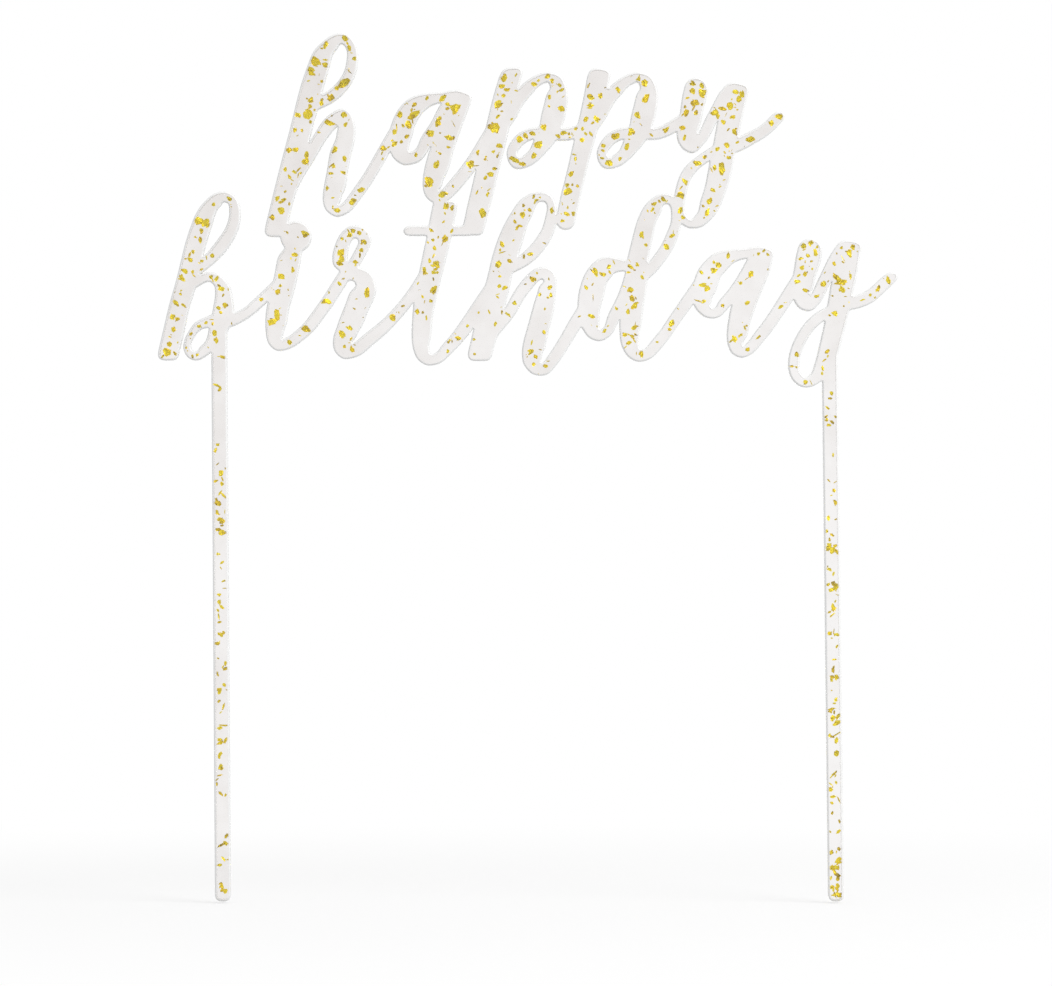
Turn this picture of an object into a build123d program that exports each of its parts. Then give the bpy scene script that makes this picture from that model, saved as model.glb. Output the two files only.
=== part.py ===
"""Clear acrylic cake topper: two words of joined script on two sticks, with foil flakes cast into the sheet.

The topper is one flat sheet cut to shape. Its pieces here are the letters, divided where one letter runs
into the next, the two sticks, and the foil flakes inside each of them. It stands in the XZ plane: X to the
right as read from the front, Z up from the tips of the sticks, and the sheet's mid plane at Y = 0.
"""
import math
import os
import random
from typing import NamedTuple

from build123d import *

# Driving dimensions, in millimetres and degrees
SHEET_THICKNESS = 3.0
BASELINE_HEIGHT = 108.0  # from the tips of the sticks to the feet of the lower word
PEN_UNIT = 1.0  # one unit of the pen strokes below
LINE_GAIN = 0.2  # how much wider each line is cut than the pen that draws it
STEM_TIP = 1.2  # how far a squared stem runs on past its last pen point
CORNER_RADIUS = 0.9  # corners of the cut-off stems and of the sticks' tips
DOT_RADIUS = 3.1
STICK_WIDTH = 3.1
STICK_SHIFT = 0.25  # each stick's line stands this far to the right of its letter's pen point
LEFT_STICK_LEAN = 0.38
RIGHT_STICK_LEAN = 0.67
FLAKE_THICKNESS = 0.12
FLAKE_COVER = 0.25  # clear acrylic between a flake and the edge of its letter
FLAKE_LEAST_AREA = 0.12  # smaller scraps, left where an edge cuts a flake, are dropped
FLAKE_LAYERS = 4  # levels through the sheet at which flakes lie
FLAKE_SIDES = 7
FLAKE_RAGGED = 0.6  # the shortest radius of a flake's outline, as a part of its longest
FLAKE_SEED = 11

# A run of the pen turns by less than this, so that its outline never laps over itself
RUN_TURN = 60.0
# The most of a stem's width that one rounded corner may take
CORNER_SHARE = 0.45

# Kinds of stroke end; a number in place of a kind is the height of a level cut
HIDDEN = "hidden"  # inside another stroke
ROUND = "round"
SQUARE = "square"


class Stroke(NamedTuple):
    """A pen stroke: the kinds of its two ends, and its points of (x, height above the baseline, pen width)."""

    start: str | float
    end: str | float
    points: list


# The bowl, small loop and exit that both letters p share
P_BOWL = [
    (-5, 47, 2.4), (-3.4, 49.5, 2.6), (-1.6, 52.6, 2.5), (0.2, 54.6, 2.4), (2.5, 56.3, 1.9),
    (4.3, 56.7, 1.8), (5.7, 55.7, 2.8), (6, 53.6, 3.8), (5.6, 51, 4.4), (5, 48.5, 4.5), (4, 45.4, 3.9),
    (2.4, 42.7, 3.1), (0.1, 40.2, 2.3), (-2.1, 39.6, 2.2), (-3.1, 41.2, 1.9), (-2.3, 43.3, 2),
    (-0.7, 44.8, 2.1), (1.5, 45.5, 2.1), (3.8, 45.5, 2.2),
]
P_PITCH = 18  # from the first p's bowl to the second's

PEN_STROKES = {
    "upper_h": [
        Stroke(HIDDEN, 24.8, [
            (-44.6, 50.2, 2.2), (-42.8, 51.2, 2.3), (-39.6, 52.7, 2.2), (-37.2, 54.8, 2.2),
            (-35.6, 57.4, 2.1), (-35, 60.4, 2), (-35.3, 62.8, 1.9), (-37, 64.4, 1.9),
            (-39.2, 63.3, 2.7), (-40.9, 61.2, 3.6), (-41.8, 58.8, 4), (-42.7, 56, 4.2),
            (-43.8, 52, 4.3), (-45.1, 47, 4.1), (-46.3, 42, 4.3), (-47.6, 37, 4.3), (-49, 32, 4),
            (-50.2, 27, 4),
        ]),
        Stroke(HIDDEN, HIDDEN, [
            (-47.2, 34.8, 2.2), (-45.6, 38, 2.4), (-43.6, 41.2, 2.4), (-41.8, 44.2, 2.3),
            (-40.2, 46.6, 2.5), (-38.6, 48.2, 2.6), (-37, 48.8, 3), (-36.3, 46.5, 3.5),
            (-37.2, 42, 3.9), (-38, 38, 3.9), (-38.8, 34, 3.8), (-39.1, 32, 3.4), (-38.2, 30, 2.1),
            (-36.4, 30.6, 2), (-35.1, 32, 2), (-31.6, 37, 2.1), (-29.7, 40.3, 2.1), (-27.6, 44, 2.1),
            (-26.2, 46.4, 2.1),
        ]),
    ],
    "upper_a": [
        Stroke(HIDDEN, HIDDEN, [
            (-15.5, 52.7, 2), (-17.5, 52.6, 1.9), (-19.8, 52.2, 2.5), (-22.3, 51, 3.6),
            (-24.2, 48.7, 4.2), (-25.4, 45, 4.3), (-25.5, 42.3, 3.8), (-24.5, 40.6, 2.7),
            (-22.7, 40.7, 2.2), (-20.4, 43.6, 2.3), (-18.4, 46.7, 2.3), (-16.8, 49.8, 2.3),
            (-15.6, 51.8, 2.3),
        ]),
        Stroke(SQUARE, HIDDEN, [
            (-13.5, 52.8, 4.6), (-14.6, 49.5, 4.4), (-15.9, 46, 4.4), (-17.2, 42, 4.4),
            (-18.4, 38, 4.3), (-19, 35, 3.7), (-18.5, 32.9, 2.4), (-17, 33, 2.2), (-15.6, 34, 2.3),
            (-14, 35.8, 2.4), (-12, 38.3, 2.4), (-10.6, 40.3, 2.4), (-8.6, 43.6, 2.4),
            (-7.2, 45.9, 2.4),
        ]),
    ],
    "upper_p_first": [
        Stroke(58.7, 25.1, [
            (-3.4, 56.9, 4.1), (-4.8, 52, 4.2), (-5.9, 47, 4.4), (-7.1, 42, 4.4), (-8.2, 37.5, 4.3),
            (-9, 34, 4.3), (-10, 30, 4.2), (-10.6, 27.4, 4.1),
        ]),
        Stroke(HIDDEN, HIDDEN, P_BOWL + [
            (5.6, 45.3, 2.2), (7.4, 45.3, 2.3), (9.2, 45.6, 2.3), (12.2, 46.6, 2.3),
        ]),
    ],
    "upper_p_second": [
        Stroke(SQUARE, ROUND, [
            (14.3, 57.3, 4.3), (13.3, 52, 4.2), (12.1, 47, 4), (10.8, 42, 3.7), (9.6, 37, 3.6),
            (8.4, 32, 3.7), (7.6, 28.1, 3.6),
        ]),
        Stroke(HIDDEN, HIDDEN, [(x + P_PITCH, height, width) for x, height, width in P_BOWL] + [
            (23.6, 45.4, 2.1), (25.6, 45.4, 2.1), (27.5, 46, 2.2), (29.3, 47, 2.3), (32.6, 49, 2.3),
        ]),
    ],
    "upper_y": [
        Stroke(ROUND, HIDDEN, [
            (33.7, 54.2, 4.6), (33.4, 53, 4.6), (32.8, 50, 4.3), (32.2, 47, 4.1), (31.95, 45, 4),
            (32.9, 43.2, 3.1), (34.9, 44.7, 2), (36.2, 47.1, 2.1), (37.6, 49.8, 2.1), (39.3, 53, 2.1),
            (39.9, 54, 2.1),
        ]),
        Stroke(SQUARE, ROUND, [
            (41.8, 54.4, 4.6), (40.8, 50, 4.6), (40, 46, 4.5), (39.4, 43, 4.4), (38.75, 39.5, 4.5),
            (38, 36, 4.3), (37.1, 33, 4), (36.1, 30.5, 3.6), (34.4, 28.1, 2.5), (32.5, 27.4, 1.5),
            (31, 28.6, 1.6), (30.3, 31.5, 1.9), (30.7, 34, 2.1), (31.7, 37, 2.1), (33.2, 38.9, 2),
            (35.4, 40.6, 1.9), (37.5, 41.8, 2.2), (39.8, 42.5, 2.4), (42, 43.2, 2.5), (44.6, 44.5, 2.4),
            (46.1, 45.3, 2.3), (47.6, 46.3, 2.2), (49.2, 47.8, 2.2), (50.4, 49.1, 2.1),
        ]),
    ],
    "lower_b": [
        Stroke(HIDDEN, 0.1, [
            (-68.2, 17.2, 2.3), (-66.6, 18.2, 2.4), (-64.5, 19.6, 2.2), (-62, 22, 2.4),
            (-60.2, 24.4, 2.4), (-58.9, 27, 2.2), (-58.5, 30, 2), (-59.2, 32.2, 1.8),
            (-60.6, 32.8, 1.9), (-62.4, 31.9, 2.6), (-64.2, 29.5, 3.3), (-65.3, 26.7, 3.7),
            (-66.4, 23.2, 3.8), (-67.4, 19, 3.9), (-68.4, 15, 3.9), (-69.6, 11, 3.8), (-70.5, 7, 3.9),
            (-71.6, 2.3, 3.9),
        ]),
        Stroke(HIDDEN, HIDDEN, [
            (-68.6, 14.4, 1.8), (-67.2, 15.3, 1.8), (-65.5, 16.2, 1.7), (-63.7, 16.8, 1.7),
            (-62, 16.1, 2.1), (-60.95, 14.3, 2.9), (-60.75, 11.9, 3.5), (-60.9, 9.4, 4),
            (-61.9, 6.2, 3.5), (-62.9, 3.8, 2.6), (-64.6, 2.1, 2), (-66.5, 1, 1.6), (-67.9, 2.1, 1.3),
            (-68, 3.5, 1.2), (-67.2, 5.3, 1.3), (-65.8, 7, 1.6), (-64, 7.7, 2), (-61.8, 8.2, 2.3),
            (-59.8, 8, 2.3), (-58.3, 8.5, 2.2), (-55.9, 9.8, 1.9), (-54.6, 10.9, 2), (-53.4, 12, 2),
            (-51.5, 13.8, 2), (-49.8, 15.4, 2.1),
        ]),
    ],
    "lower_i": [
        Stroke(HIDDEN, HIDDEN, [
            (-46.4, 24, 3), (-46.8, 22.2, 3.2), (-47.5, 20.5, 4.2), (-48.1, 18, 4.4), (-49, 14, 4.3),
            (-50, 10, 4.2), (-50.4, 7, 3.8), (-50.5, 5, 3.2), (-49.8, 3.2, 2.2), (-48, 3.5, 2.1),
            (-46.2, 4.6, 2.1), (-44, 6.5, 2.2), (-42, 9, 2.3), (-40, 11.8, 2.3), (-38.4, 14.3, 2.3),
            (-36.8, 16.8, 2.3), (-35.8, 18.4, 2.2),
        ]),
    ],
    "lower_r": [
        Stroke(HIDDEN, HIDDEN, [
            (-35.6, 18.2, 2.4), (-37.4, 19.6, 2.7), (-37.5, 20.8, 2.8), (-37.2, 22.5, 2.6),
            (-36.4, 24.5, 2.4), (-34.4, 25.8, 2.3), (-32.6, 24.4, 2.4), (-33.2, 22.1, 2.1),
            (-34.2, 20.3, 2), (-35.3, 18.4, 2.2),
        ]),
        Stroke(HIDDEN, HIDDEN, [
            (-36.8, 17.2, 2.2), (-34.8, 17.4, 2.6), (-32.6, 16, 3.6), (-32.6, 14, 4.4), (-34, 11, 4.5),
            (-35.2, 8, 4.5), (-36.3, 5.5, 4.1), (-37, 3.5, 3.6), (-36.4, 1.8, 2.7), (-34.5, 2.2, 2.6),
            (-32.3, 3.8, 2.5), (-29.5, 6.1, 2.4), (-27, 8.5, 2.2), (-24.8, 11, 2.1), (-22.9, 13.5, 2.1),
            (-20.2, 17.8, 2.1),
        ]),
    ],
    "lower_t": [
        Stroke(32, HIDDEN, [
            (-16.7, 30, 4.7), (-17.1, 28, 4.7), (-17.9, 24, 4.6), (-18.8, 20, 4.5), (-19.7, 16, 4.3),
            (-20.55, 12, 4.1), (-21.05, 8, 3.8), (-21.3, 4, 3.4), (-21, 1.7, 2.9), (-19.9, 0.3, 2.2),
            (-18.3, 0.4, 2), (-16.6, 1.8, 2.2), (-14.6, 4, 2.4), (-12.6, 6.5, 2.6), (-10.6, 9.4, 2.7),
            (-7.6, 13.8, 2.8),
        ]),
        Stroke(SQUARE, HIDDEN, [
            (-23.7, 26, 1.8), (-20, 26, 1.8), (-11.6, 26, 1.8),
        ]),
    ],
    "lower_h": [
        Stroke(HIDDEN, 0, [
            (-5.4, 17.8, 2.2), (-3, 18.9, 2.2), (-0.8, 20.1, 2.3), (1.2, 21.8, 2.4), (3.1, 24.2, 2.4),
            (4.4, 27, 2.3), (4.8, 29.5, 1.9), (4.7, 31.3, 1.6), (4, 32.5, 1.6), (2.7, 32.8, 1.7),
            (0.9, 32.1, 2.5), (-1, 29.6, 3.7), (-2.75, 25.9, 4.4), (-4.05, 22.3, 4.7), (-5.1, 19, 4.5),
            (-5.75, 16, 4.6), (-6.5, 13, 4.7), (-7.3, 10, 4.7), (-8.2, 6.5, 4.8), (-9.2, 2.6, 4.6),
        ]),
        Stroke(HIDDEN, HIDDEN, [
            (-7.6, 4.8, 2.2), (-5.4, 7.6, 2.3), (-3.4, 10.1, 2.2), (-2, 12.6, 2.2), (-0.4, 14.9, 2.3),
            (1.1, 16.6, 2.2), (2.3, 17.4, 2.2), (3.5, 17.5, 2.3), (4.4, 16.6, 2.4), (4.3, 15.2, 2.8),
            (3.85, 13.5, 3.5), (3.3, 11, 3.95), (2.55, 8, 4.1), (1.75, 5, 4.2), (1.15, 2.5, 4.2),
            (0.95, 0.5, 3.8), (1.5, -1.1, 2.9), (2.8, -1.7, 2.3), (4.2, -0.9, 2.2), (5.6, 1, 2.3),
            (7.2, 3.5, 2.3), (8.8, 6.2, 2.4), (11.6, 10.8, 2.5),
        ]),
    ],
    "lower_d": [
        Stroke(HIDDEN, HIDDEN, [
            (21, 18.8, 2), (18.8, 19.1, 2.2), (16.7, 19.1, 3.4), (14.6, 17.8, 4.4), (13.1, 14.8, 4.8),
            (12.4, 11.6, 4.6), (12.3, 8.8, 4.1), (12.9, 6.5, 3.2), (14.2, 5.1, 2.1), (15.6, 5.6, 1.9),
            (16.8, 7.7, 2.1), (18.2, 10.6, 2.3), (19.5, 13.4, 2.3), (20.3, 16, 2.2), (20.8, 18.2, 2),
        ]),
        Stroke(HIDDEN, HIDDEN, [
            (20.6, 15.2, 2.2), (22.8, 16.8, 2.2), (24.8, 18.6, 2.2), (26.6, 20.8, 2.2),
            (28.1, 23.2, 2.2), (29.2, 25.9, 2.1), (29.75, 28.5, 1.9), (29.5, 30.8, 1.7),
            (28.7, 32.1, 1.7), (27.4, 32.4, 1.9), (25.8, 31.3, 2.8), (24.2, 28.8, 3.4),
            (23.2, 25.5, 3.7), (22.5, 22.5, 3.8), (22, 20, 4), (21.7, 16.5, 4.4), (21.2, 13, 4.4),
            (20.8, 10, 4.3), (20.5, 7, 4.1), (20.4, 4.5, 3.6), (20.9, 2.3, 2.9), (22.2, 1.1, 2.3),
            (23.7, 1.3, 2.1), (25.2, 2.6, 2.2), (27.1, 4.9, 2.2), (29.1, 7.8, 2.2), (31.2, 10.8, 2.3),
            (35.2, 16.4, 2.5),
        ]),
    ],
    "lower_a": [
        Stroke(HIDDEN, HIDDEN, [
            (46, 21.5, 1.8), (43.2, 21.4, 1.9), (40.5, 20.8, 2.7), (37.8, 19.2, 4.1), (36, 16.6, 4.6),
            (35.2, 13.9, 4.3), (35, 11.7, 3.4), (35.7, 10.1, 2.3), (37.1, 9.5, 1.8), (38.7, 10.6, 2),
            (40.3, 12.5, 2.2), (42.5, 15.4, 2.3), (44, 18, 2.2), (45.2, 20.4, 2),
        ]),
        Stroke(SQUARE, HIDDEN, [
            (46.9, 21.6, 4.4), (46.2, 19, 4.6), (45.05, 16, 4.6), (43.9, 13, 4.5), (42.85, 10, 4.4),
            (42.15, 7, 4.1), (41.7, 4.5, 3.5), (41.8, 2.7, 2.7), (42.7, 1.8, 2.1), (44.1, 2.3, 2.1),
            (45.7, 4, 2.2), (47.6, 6.4, 2.3), (49.5, 9.1, 2.3), (51.2, 11.7, 2.4), (54.7, 17.2, 2.5),
        ]),
    ],
    "lower_y": [
        Stroke(ROUND, HIDDEN, [
            (56.45, 22, 4.7), (56.25, 21, 4.8), (55.8, 19, 4.6), (55.2, 16.5, 4.2), (54.85, 14.2, 3.8),
            (55, 12.4, 3.2), (56.1, 11.3, 2.5), (57.5, 12.4, 2.2), (58.6, 14.4, 2.2), (59.8, 16.9, 2.3),
            (62, 21.2, 2.3), (62.9, 22.7, 2.2),
        ]),
        Stroke(SQUARE, HIDDEN, [
            (64.4, 22.9, 4.5), (63.95, 20.5, 4.6), (63.35, 17, 4.6), (62.75, 14, 4.4), (62.2, 11, 4.3),
            (61.6, 8, 4.1), (60.9, 5, 3.9), (60.15, 2, 3.8), (59.4, -0.4, 3.5), (58.3, -2.5, 2.8),
            (57, -3.8, 2.1), (55.6, -4.3, 1.8), (54.2, -3.6, 1.9), (53.3, -2, 1.9), (53.25, 0.1, 2),
            (53.9, 2.7, 2), (55.2, 5.3, 2), (56.9, 7.5, 2), (58.8, 9, 2), (61.8, 10.2, 2.3),
        ]),
        Stroke(HIDDEN, ROUND, [
            (62.4, 11, 2.2), (64.8, 11.6, 2.5), (66.8, 12.1, 2.4), (68.7, 13.1, 2.4), (70.4, 14.6, 2.3),
            (71.9, 16, 2.3), (73, 17, 2.1),
        ]),
    ],
}
I_DOT = (-46.3, 24.8)

# The letters' pen points that the sticks hang from
LEFT_STICK_ROOT = PEN_STROKES["lower_b"][1].points[8]
RIGHT_STICK_ROOT = PEN_STROKES["lower_y"][1].points[7]

# Each piece, with the neighbours that cut it off where it runs into them
CUT_BY = {
    "upper_h": ["upper_a"],
    "upper_a": ["upper_p_first"],
    "upper_p_first": ["upper_p_second"],
    "upper_p_second": ["upper_y"],
    "upper_y": [],
    "lower_b": ["lower_i"],
    "lower_i": ["lower_r", "upper_h"],
    "lower_r": ["lower_t"],
    "lower_t": ["lower_h", "upper_p_first", "upper_a"],
    "lower_h": ["lower_d", "upper_p_second"],
    "lower_d": ["lower_a", "upper_y"],
    "lower_a": ["lower_y"],
    "lower_y": [],
    "left_stick": ["lower_b"],
    "right_stick": ["lower_y"],
}

# Flakes in the letters: (x, height above the baseline, size across), in pen units
LETTER_FLAKES = {
    "upper_h": [
        (-36.5, 64.6, 1.4), (-40.4, 63.1, 1.3), (-35.6, 62.5, 1.3), (-42.5, 60, 2.2),
        (-34.6, 60.5, 1.2), (-40.4, 59.2, 1.4), (-43.4, 58.3, 1.6), (-43.1, 57.4, 1.3),
        (-36.9, 55.5, 2.3), (-38.2, 54.6, 1), (-39.3, 52.5, 1.6), (-41.2, 51.4, 1), (-43.4, 52.3, 1.1),
        (-43.4, 50.9, 1), (-43.8, 49.2, 2), (-46, 49.1, 1.4), (-43.4, 47.9, 0.8), (-46.4, 46.2, 0.9),
        (-47.6, 42.2, 1.3), (-46.4, 42.2, 1.1), (-44.2, 41.2, 1.2), (-44.5, 39.9, 1.5),
        (-39.6, 47.6, 1.8), (-36.8, 49.2, 1.2), (-36.4, 47.3, 1), (-38.6, 42.2, 1.5),
        (-36.6, 40.5, 1.2), (-38.7, 38.9, 0.9), (-36.8, 37.7, 1.1), (-39.3, 37.5, 0.9),
        (-40.1, 34.5, 0.8), (-37.9, 30.1, 1.1), (-34.9, 31.8, 1.5), (-33.2, 34.3, 1.4),
        (-29, 42.5, 1.5), (-48.4, 38.2, 0.8), (-47.6, 36.9, 0.9), (-46.6, 37.8, 0.9), (-50, 32.4, 1.2),
        (-48.7, 32.1, 1), (-49.2, 30.1, 1.7), (-51, 28.7, 1.2),
    ],
    "upper_a": [
        (-20.1, 52.6, 0.9), (-17, 52.6, 1.6), (-16, 51.3, 1), (-14.4, 50.6, 2.2), (-22.6, 51.3, 0.9),
        (-25.6, 49.4, 1.7), (-22.7, 49.2, 2.1), (-23.8, 47.3, 1.5), (-24.9, 47, 0.7), (-18, 47.7, 1.8),
        (-26.6, 45.7, 1.1), (-24.1, 44.8, 1), (-26.6, 43.4, 1.3), (-19.3, 45.4, 1.5),
        (-18.6, 43.4, 0.8), (-15.7, 44.6, 1.6), (-17.5, 41.5, 0.8), (-22.3, 41.2, 0.9),
        (-18.3, 39.2, 1.5), (-19.6, 35.8, 2), (-17.1, 33.2, 1.5), (-11.4, 39.4, 1.7), (-9.9, 41.6, 1.3),
    ],
    "upper_p_first": [
        (-4.6, 56.6, 1.5), (-5.2, 55, 1.2), (-4.2, 54.2, 1), (-4.8, 53, 1), (-6, 51.4, 1.7),
        (-5.9, 48.9, 1), (-6.6, 46.6, 2.2), (-5.6, 43, 1.2), (-6.8, 41.9, 0.8), (-6.6, 38.4, 0.9),
        (-7.4, 37.3, 1.4), (-8.4, 36.6, 0.9), (-8, 33.4, 0.8), (-8.9, 29.7, 1.8), (3.9, 56.9, 1.4),
        (4.9, 56.1, 1), (6.4, 55.2, 1), (6.9, 54.2, 0.9), (1.2, 55.3, 1.3), (6.7, 50.4, 1.7),
        (3.2, 46.6, 1.2), (1, 45.5, 1.4), (-0.4, 45, 1.2), (-1.6, 44.2, 1.4), (7.1, 45.6, 1.3),
        (6.1, 45, 1), (2.1, 43.2, 1.8), (1.3, 41, 1.3), (-2.6, 40.3, 1.7), (-0.8, 39.3, 1.1),
    ],
    "upper_p_second": [
        (12.6, 52.7, 1.7), (14.5, 53, 1.2), (12.6, 51, 1.2), (11.6, 48.3, 1.1), (13.7, 48.4, 1.3),
        (11, 46.4, 1), (12.7, 45.3, 1), (10.9, 44.2, 1), (9.6, 40.5, 0.9), (8.7, 37.3, 1.2),
        (10, 35, 0.7), (8, 33.9, 1.8), (7.9, 35.2, 1), (9.2, 29.5, 1), (7.8, 29.4, 1.1), (7, 28, 0.8),
        (22.1, 56.4, 1.6), (23.5, 55.6, 1.5), (18.1, 54.3, 1.2), (23.6, 52.4, 1.9), (22, 49.2, 1.3),
        (20.7, 45.9, 1.3), (17.6, 44.8, 1.6), (15.2, 43, 1), (19.8, 42.8, 1.3), (16.4, 39.6, 1.5),
        (18.5, 40.4, 1), (27.8, 46.2, 1.2),
    ],
    "upper_y": [
        (33, 55.4, 1), (34.9, 55, 1.2), (32.9, 54, 1.3), (34.8, 53.7, 1.6), (33.4, 51.6, 1.7),
        (31.6, 49.6, 1.3), (33.6, 49.5, 1), (31, 46.5, 1.2), (31.4, 44.6, 1), (37.5, 49.4, 1.9),
        (38.9, 50.4, 1.4), (40.5, 50.9, 1.8), (42.2, 52.5, 1.4), (43, 53.3, 1.3), (41.6, 53.8, 1.2),
        (39.2, 47.7, 1.1), (41, 48.8, 1), (41.4, 45.8, 1.2), (39.8, 43.1, 1.2), (37.9, 42.3, 1.1),
        (35.5, 40.8, 0.9), (34, 39.5, 1.5), (40.3, 40.6, 1), (38.8, 38.4, 2.2), (37.5, 38.7, 1.1),
        (31.6, 35.8, 1.3), (30.6, 33.1, 1.5), (37.1, 34.2, 0.9), (36.4, 32, 1.4), (36, 29.8, 1.3),
        (30.5, 30.1, 1.4), (31, 28.7, 1), (44.6, 44.3, 1.6), (48.9, 47.6, 1.2), (50.2, 48.9, 1.4),
    ],
    "lower_b": [
        (-59.6, 32.4, 1.2), (-62.7, 31.3, 0.9), (-65.6, 28, 1.9), (-64.3, 27.6, 1.9), (-65.2, 26.2, 1),
        (-65.4, 24.1, 1.2), (-66.9, 21.8, 1), (-67.4, 20.3, 1.1), (-63, 21.1, 1.2), (-67, 17.8, 0.9),
        (-68.6, 18, 1.5), (-69, 16.5, 1.6), (-69.4, 13.4, 0.7), (-70.2, 11.5, 1.4), (-68.7, 11.1, 1),
        (-71, 8.8, 1.2), (-70, 8.4, 1.1), (-70.8, 6.3, 1.3), (-71.5, 3.3, 1.2), (-72, 1.8, 2),
        (-70.4, 1.4, 1.2), (-63.3, 16.8, 1.2), (-62.2, 16.4, 1.2), (-61.2, 14.5, 1.4),
        (-60.6, 11.2, 1.2), (-61.8, 10.6, 1), (-64.3, 7.6, 0.9), (-65.6, 6.9, 1), (-62.6, 5.6, 1.3),
        (-62.2, 4, 1.3), (-66, 1.2, 0.9), (-53.2, 12.3, 1),
    ],
    "lower_i": [
        (-44.6, 25.5, 1.8), (-46.6, 21.2, 1.5), (-47, 18.1, 1.2), (-49.2, 16.9, 1.9),
        (-49.4, 15.1, 0.9), (-49.9, 13.9, 1.4), (-50, 9.3, 1.9), (-51.1, 7.8, 2), (-47.6, 3.8, 1.4),
        (-44.3, 6.4, 2), (-40, 11.9, 1.9), (-37.6, 15.4, 1.1),
    ],
    "lower_r": [
        (-34.8, 26, 1), (-33.6, 25.6, 1.1), (-35.5, 25.2, 1.4), (-37, 24.4, 0.9), (-32.6, 23.8, 1.4),
        (-33.2, 22.2, 1.2), (-37.4, 21.6, 1.8), (-37.2, 20.2, 1.6), (-37.6, 19.4, 1.3),
        (-34.4, 19.8, 1.2), (-32.2, 13.5, 1.9), (-35.5, 6.5, 1.5), (-37.3, 5.2, 1.7), (-36.6, 2.9, 0.9),
        (-35, 2.2, 1.3), (-26.9, 8.6, 1.7),
    ],
    "lower_t": [
        (-16.4, 30.9, 1.5), (-15.1, 30.7, 1.1), (-16.8, 27.8, 0.7), (-19.2, 26.1, 1), (-15.2, 26, 0.9),
        (-18.9, 24.2, 0.8), (-16.4, 24.2, 1.6), (-18.5, 22.5, 1), (-19.6, 20.1, 1), (-18.1, 19.3, 1.6),
        (-18.7, 17.7, 1), (-20.6, 18.1, 1.4), (-18.6, 14.3, 1.6), (-19.4, 12, 0.9), (-22, 9.9, 1.2),
        (-15.9, 1.9, 0.8), (-13.9, 4.6, 1.2), (-12, 7, 0.8),
    ],
    "lower_h": [
        (1.6, 32, 1.4), (0.4, 30.2, 0.9), (-0.9, 29.2, 1.4), (-2.5, 27.8, 1.1), (-2, 26.7, 1),
        (4.8, 30.1, 1.2), (-5, 23.3, 1.2), (-5.9, 19.4, 1.7), (-3.6, 20, 1.1), (0.5, 21.4, 1.3),
        (-5.6, 14.9, 1), (-4.6, 14.6, 1.2), (-2.6, 11.5, 1.2), (-3.9, 9.4, 1.1), (-6.4, 7.4, 0.9),
        (-10.6, 1.4, 0.8), (1, 16.4, 1.3), (4.5, 14.7, 1.2), (4.7, 13.2, 1), (3.3, 5.8, 1),
        (0.8, 1.9, 1.3), (1.6, 0.9, 1.2), (1.3, -0.7, 0.9), (3.7, -1, 1),
    ],
    "lower_d": [
        (13.6, 18, 1.5), (16.3, 18.8, 1.2), (15.2, 17.3, 1.2), (20.6, 18.8, 1.3), (11.7, 14.7, 1.1),
        (12.8, 9, 1.3), (15.5, 6, 1), (17.8, 10.4, 0.8), (20.6, 14.3, 1.5), (20.9, 12.5, 1.6),
        (21.3, 10.9, 1.5), (20.1, 9.8, 1.1), (21.3, 6.8, 1.3), (19.4, 5.2, 1.2), (20.9, 5, 0.8),
        (20.3, 3.6, 1.1), (22.8, 1.4, 1.5), (28.8, 7.6, 1.5), (25.4, 31.4, 1.1), (24.9, 30.2, 0.9),
        (27.2, 32.2, 1.2), (22.8, 25.3, 1.4), (23.6, 23.1, 0.9), (29, 25, 1.3), (27.8, 22.9, 1.5),
        (22, 19.3, 0.9), (22.9, 16.8, 1),
    ],
    "lower_a": [
        (40.2, 21, 1.3), (37.3, 19.7, 0.8), (38.1, 19.1, 1.6), (37.3, 18, 1.5), (34.8, 17.7, 1.1),
        (35, 15.2, 1.4), (35.9, 14.4, 1.7), (35.3, 11.9, 0.9), (39.1, 11.1, 0.9), (42.6, 15.5, 0.9),
        (44.6, 17.3, 1.4), (43.8, 11.6, 1.2), (46.2, 21.4, 0.9), (47.2, 22, 0.8), (48, 21.3, 0.8),
        (41.3, 4.4, 1.3), (42.6, 5.2, 0.9), (44, 2.3, 1.1), (50.6, 10.8, 1.2),
    ],
    "lower_y": [
        (55.2, 23, 1.3), (56.7, 23.6, 1.2), (57.6, 21.8, 1.5), (56.1, 21, 1), (54.6, 20.5, 0.9),
        (54.9, 18.6, 1.2), (55.4, 17.3, 1.2), (53.9, 15.9, 1.3), (55.5, 14.1, 1.2), (57.7, 12.9, 1.1),
        (59.2, 15.4, 1.3), (61.8, 16.6, 1.7), (62.9, 15.9, 1.9), (63, 14.3, 1.5), (64.6, 16.8, 1),
        (64.4, 21.4, 1.6), (65.1, 22.8, 1.3), (62.8, 22.6, 0.8), (61.3, 19.5, 1), (61.4, 9.5, 1.5),
        (59.9, 1.9, 1.2), (53.7, 1.4, 1.1), (55.6, -4.2, 1.2), (68.5, 13.1, 0.8), (70.2, 14.6, 1.2),
        (72.1, 16.1, 1.5),
    ],
}

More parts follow.
